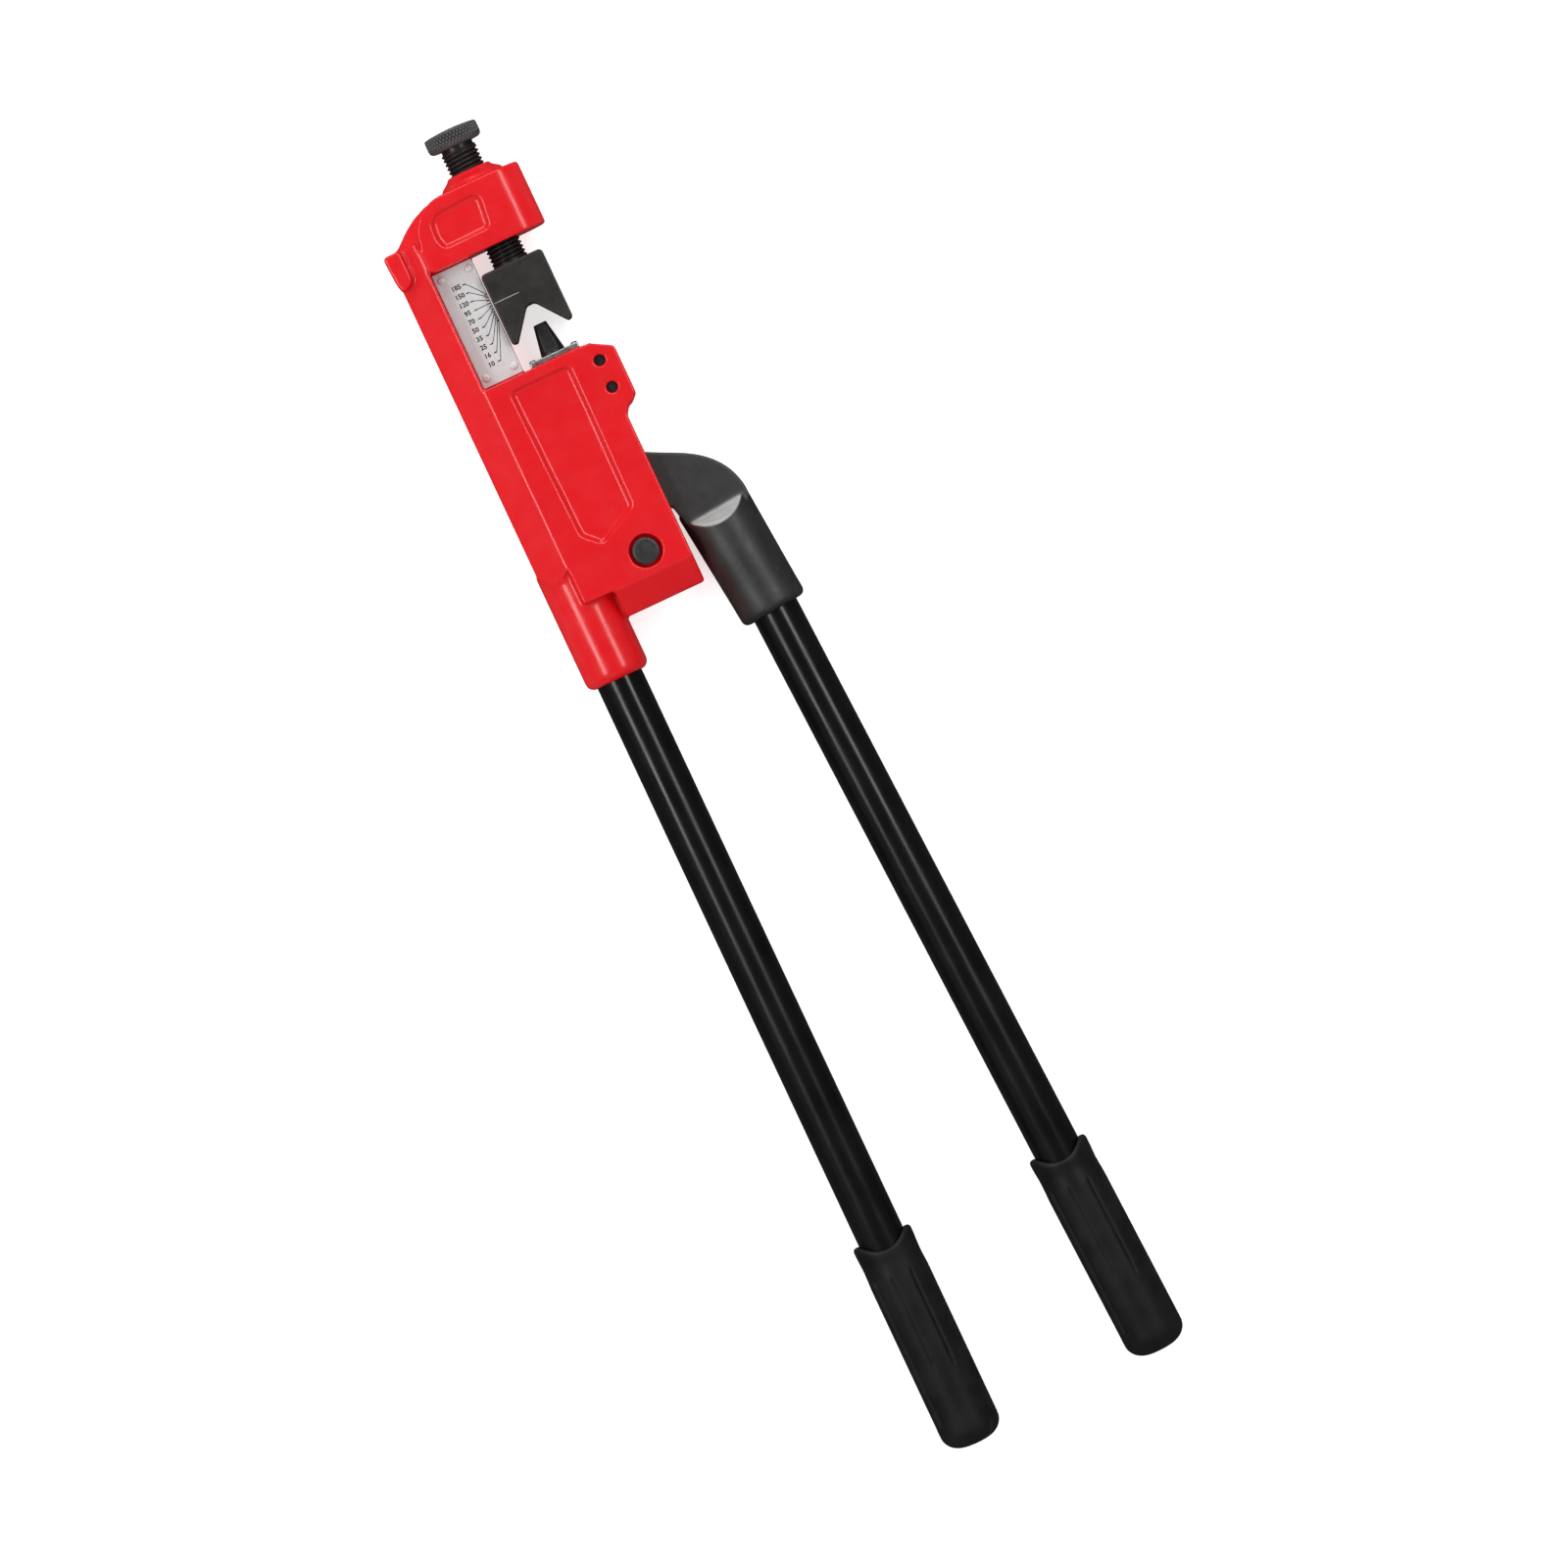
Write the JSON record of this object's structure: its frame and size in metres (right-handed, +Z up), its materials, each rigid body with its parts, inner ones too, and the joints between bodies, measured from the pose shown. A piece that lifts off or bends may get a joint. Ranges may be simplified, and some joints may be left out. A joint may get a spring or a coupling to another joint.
{
  "type": "indent crimping tool",
  "caption": "Long-handled toggle tool that presses an indenter into a cable lug held in an adjustable V anvil.",
  "frame": {"origin": "under the middle of the tool as it lies on its back face, in the plane that it rests on", "axes": "+Y along the tool from the grips to the adjusting knob, +X from the fixed handle to the lever, +Z up out of the face with the scale plate"},
  "size_m": [0.124, 0.6402, 0.036],
  "materials": {
    "red_enamel": "gloss red enamel on a casting",
    "scale_aluminium": "satin printed aluminium",
    "rivet_steel": "bright rivet heads",
    "black_oxide": "black oxide steel",
    "zinc_steel": "zinc plated screws, pins and guide plate",
    "black_enamel": "gloss black enamel on steel tube",
    "grip_rubber": "moulded matt rubber",
    "tool_steel": "hardened tool steel, black oxide",
    "lever_black": "satin black coated forging"
  },
  "bodies": {
    "frame": {"head_casting": "red_enamel", "scale_plate": "scale_aluminium", "scale_plate_rivets": "rivet_steel", "guide_plate": "zinc_steel", "guide_plate_screws": "zinc_steel", "guide_block": "black_oxide", "guide_block_pins": "black_oxide", "anchor_bolt": "black_oxide", "anchor_retaining_ring": "black_oxide", "link_spacers": "zinc_steel", "fixed_handle_tube": "black_enamel", "fixed_handle_grip": "grip_rubber"},
    "ram": {"ram": "black_oxide", "indenter": "tool_steel", "indenter_set_screw": "black_oxide"},
    "lever": {"lever_arm": "lever_black", "ram_pin": "zinc_steel", "knee_pin": "zinc_steel", "moving_handle_tube": "black_enamel", "moving_handle_grip": "grip_rubber"},
    "link": {"toggle_link": "black_oxide"},
    "anvil": {"v_anvil": "tool_steel", "anvil_retaining_pins": "zinc_steel"},
    "screw": {"adjusting_screw": "black_oxide", "adjusting_knob": "black_oxide", "knob_pin": "zinc_steel"}
  },
  "joints": [
    {"name": "ram_slide", "type": "slide", "parent": "frame", "child": "ram", "axis": [0, 1, 0], "range_m": [-0.00765, 0.00045]},
    {"name": "lever_swing", "type": "hinge", "parent": "ram", "child": "lever", "pos_m": [-0.0098, 0.14997, 0.018], "axis": [0, 0, 1], "range_deg": [-2.5, 50]},
    {"name": "link_swing", "type": "hinge", "parent": "lever", "child": "link", "pos_m": [-0.00902, 0.13499, 0.018], "axis": [0, 0, 1], "range_deg": [-76.5, 4]},
    {"name": "anvil_slide", "type": "slide", "parent": "frame", "child": "anvil", "axis": [0, 1, 0], "range_m": [-0.006, 0.008]},
    {"name": "screw_turn", "type": "hinge", "parent": "anvil", "child": "screw", "pos_m": [-0.0098, 0.2532, 0.018], "axis": [0, 1, 0], "range_deg": [-1081, 1441]}
  ],
  "couplings": [
    {"joint": "ram_slide", "follows": "lever_swing", "m_per_rad": -0.00867},
    {"joint": "link_swing", "follows": "lever_swing", "ratio": -1.519},
    {"joint": "screw_turn", "follows": "anvil_slide", "rad_per_m": 3141.6}
  ]
}
